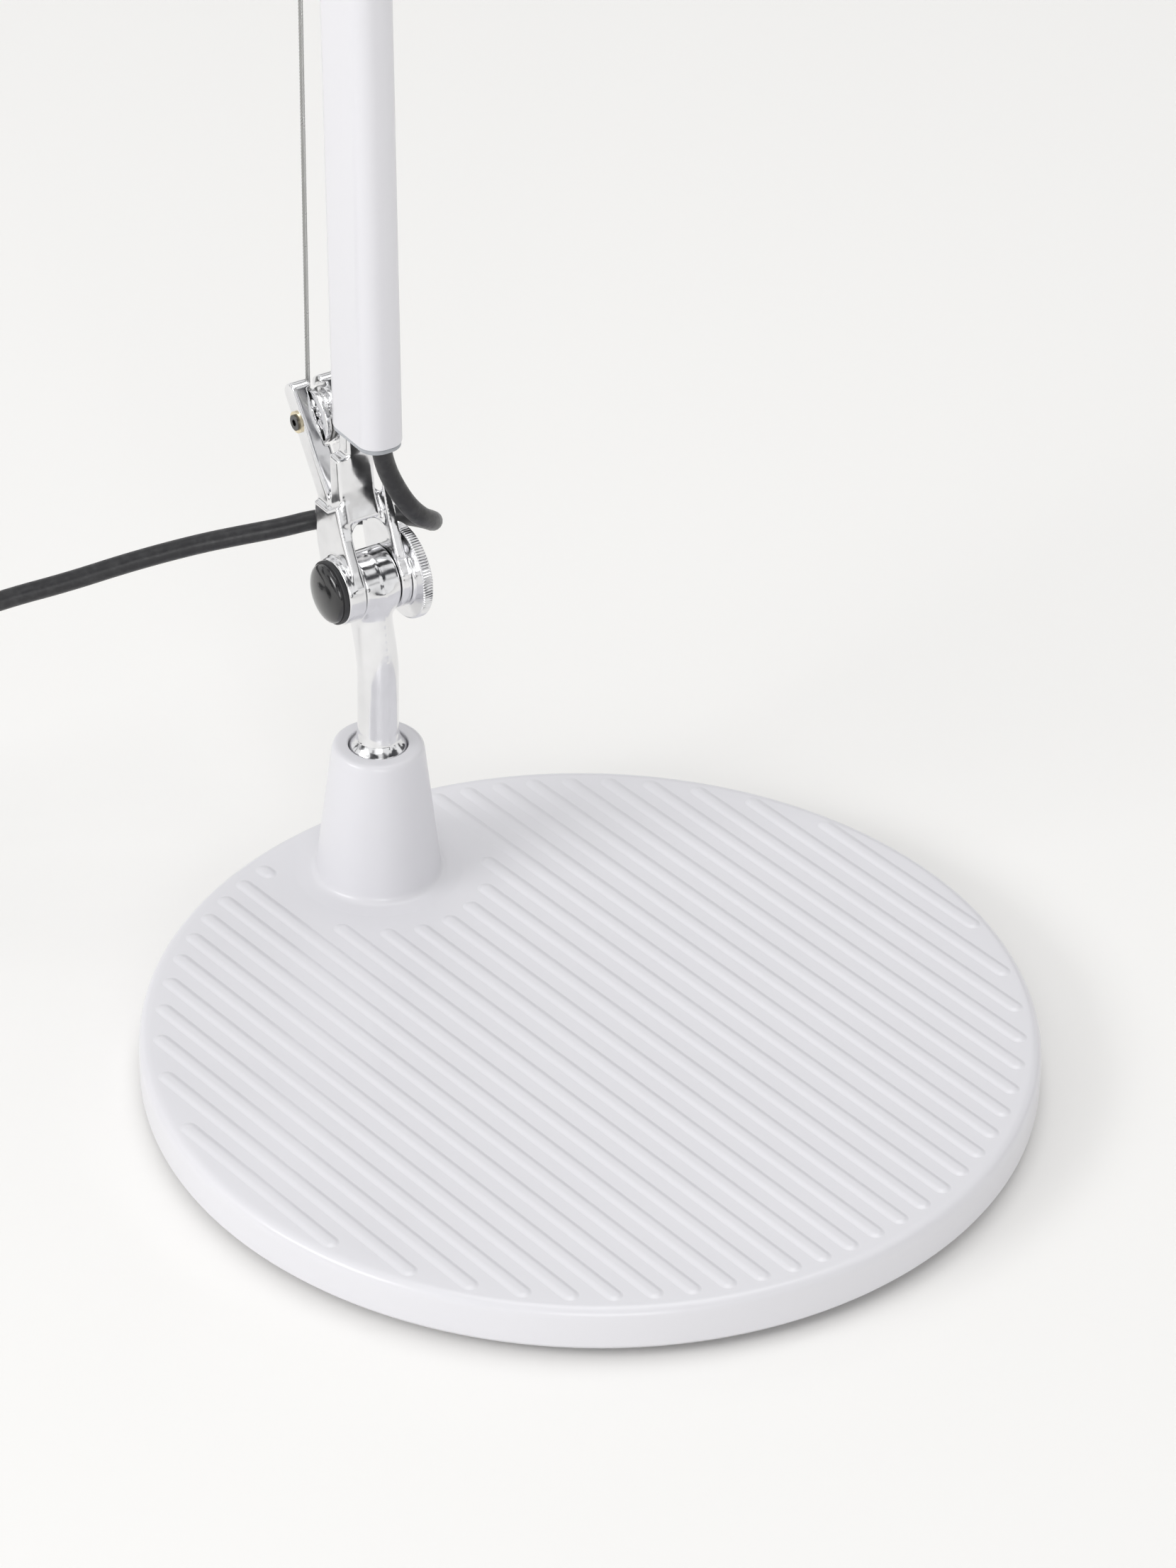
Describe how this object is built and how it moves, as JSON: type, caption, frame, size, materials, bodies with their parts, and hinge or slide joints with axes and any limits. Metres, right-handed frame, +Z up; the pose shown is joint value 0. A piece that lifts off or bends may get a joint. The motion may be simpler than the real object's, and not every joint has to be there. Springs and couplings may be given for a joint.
{
  "type": "adjustable arm floor lamp",
  "caption": "Reading floor lamp with a ribbed round base, two spring-balanced tubular arms on clamped pivots, an outside balance cable and a tilting cone shade.",
  "frame": {"origin": "centre of the round base, on the floor", "axes": "+Z up; +X the way the upper arm points from the elbow, in the plane the arms swing in; +Y the side of the knurled hand wheels"},
  "size_m": [0.6409, 0.3967, 1.0424],
  "materials": {
    "white_paint": "satin white enamel on a grey iron casting",
    "white_paint_tube": "satin white paint on an extruded tube",
    "white_paint_shade": "satin white paint on spun sheet",
    "polished": "polished casting",
    "steel": "zinc-plated",
    "cable": "twisted strands",
    "spring": "oiled spring wire",
    "brass": "plain",
    "rubber_pad": "matt",
    "nylon": "natural",
    "grey_plastic": "satin",
    "black_plastic": "gloss",
    "cord_black": "satin",
    "bulb": "opal"
  },
  "bodies": {
    "base": {"base_casting": "white_paint", "base_pad": "rubber_pad", "stem_bush": "nylon", "mains_cord": "cord_black", "cord_coil": "cord_black", "mains_plug": "cord_black", "plug_pin_left": "steel", "plug_pin_right": "steel"},
    "stem": {"stem_post": "polished", "stem_washer": "steel", "stem_nut": "steel"},
    "lower_arm": {"lower_fork": "polished", "lower_tube": "white_paint_tube", "lower_tube_plug": "grey_plastic", "lower_tube_top_plug": "grey_plastic", "lower_bolt": "steel", "lower_cap": "black_plastic", "pulley_axle": "steel", "axle_ring": "brass", "balance_cable": "cable", "balance_spring": "spring", "spring_anchor": "steel", "elbow_fork": "polished", "elbow_bolt": "steel", "elbow_cap": "black_plastic", "lower_lead": "cord_black", "elbow_lead": "cord_black"},
    "lower_wheel": {"lower_wheel": "polished"},
    "pulley": {"cable_pulley": "polished"},
    "upper_arm": {"upper_knuckle": "polished", "drum_cable": "cable", "upper_tube": "white_paint_tube", "upper_tube_plug": "grey_plastic", "upper_tube_tip_plug": "grey_plastic", "head_eye": "polished", "upper_lead": "cord_black"},
    "elbow_wheel": {"elbow_wheel": "polished"},
    "head": {"head_fork": "polished", "head_bolt": "steel", "head_cap": "black_plastic", "head_retainer": "steel"},
    "head_wheel": {"head_wheel": "polished"},
    "shade": {"shade_holder": "white_paint_shade", "shade": "white_paint_shade", "lamp_socket": "black_plastic", "bulb_cap": "brass", "bulb_glass": "bulb"},
    "button": {"switch_button": "black_plastic"}
  },
  "joints": [
    {"name": "stem_swivel", "type": "hinge", "parent": "base", "child": "stem", "pos_m": [-0.0869, -0.01152, 0.05], "axis": [0, 0, 1], "range_deg": [-120, 120], "deforming": ["mains_cord"]},
    {"name": "lower_pivot", "type": "hinge", "parent": "stem", "child": "lower_arm", "pos_m": [-0.0919, -0.01152, 0.1015], "axis": [0, 1, 0], "range_deg": [-25, 45], "deforming": ["mains_cord"]},
    {"name": "lower_wheel_turn", "type": "hinge", "parent": "lower_arm", "child": "lower_wheel", "pos_m": [-0.0919, -0.01152, 0.1015], "axis": [0, 1, 0], "range_deg": [-90, 270]},
    {"name": "pulley_spin", "type": "hinge", "parent": "lower_arm", "child": "pulley", "pos_m": [-0.11526, -0.01152, 0.13903], "axis": [0, 1, 0], "range_deg": [-100, 100]},
    {"name": "elbow", "type": "hinge", "parent": "lower_arm", "child": "upper_arm", "pos_m": [-0.12338, -0.01152, 0.9209], "axis": [0, 1, 0], "range_deg": [-55, 50], "deforming": ["elbow_lead"]},
    {"name": "elbow_wheel_turn", "type": "hinge", "parent": "lower_arm", "child": "elbow_wheel", "pos_m": [-0.12338, -0.01152, 0.9209], "axis": [0, 1, 0], "range_deg": [-90, 270]},
    {"name": "head_tilt", "type": "hinge", "parent": "upper_arm", "child": "head", "pos_m": [0.28231, -0.01152, 1.0296], "axis": [0, 1, 0], "range_deg": [-80, 18]},
    {"name": "head_wheel_turn", "type": "hinge", "parent": "head", "child": "head_wheel", "pos_m": [0.28231, -0.01152, 1.0296], "axis": [0, 1, 0], "range_deg": [-90, 270]},
    {"name": "shade_swivel", "type": "hinge", "parent": "head", "child": "shade", "pos_m": [0.28231, -0.01152, 1.0056], "axis": [0, 0, 1], "range_deg": [-165, 165]},
    {"name": "button_press", "type": "slide", "parent": "shade", "child": "button", "axis": [1, 0, 0], "range_m": [0, 0.002], "stiffness_N_per_m": 600, "springref_m": -0.001}
  ],
  "couplings": [
    {"joint": "pulley_spin", "follows": "elbow", "ratio": 1.6667}
  ]
}
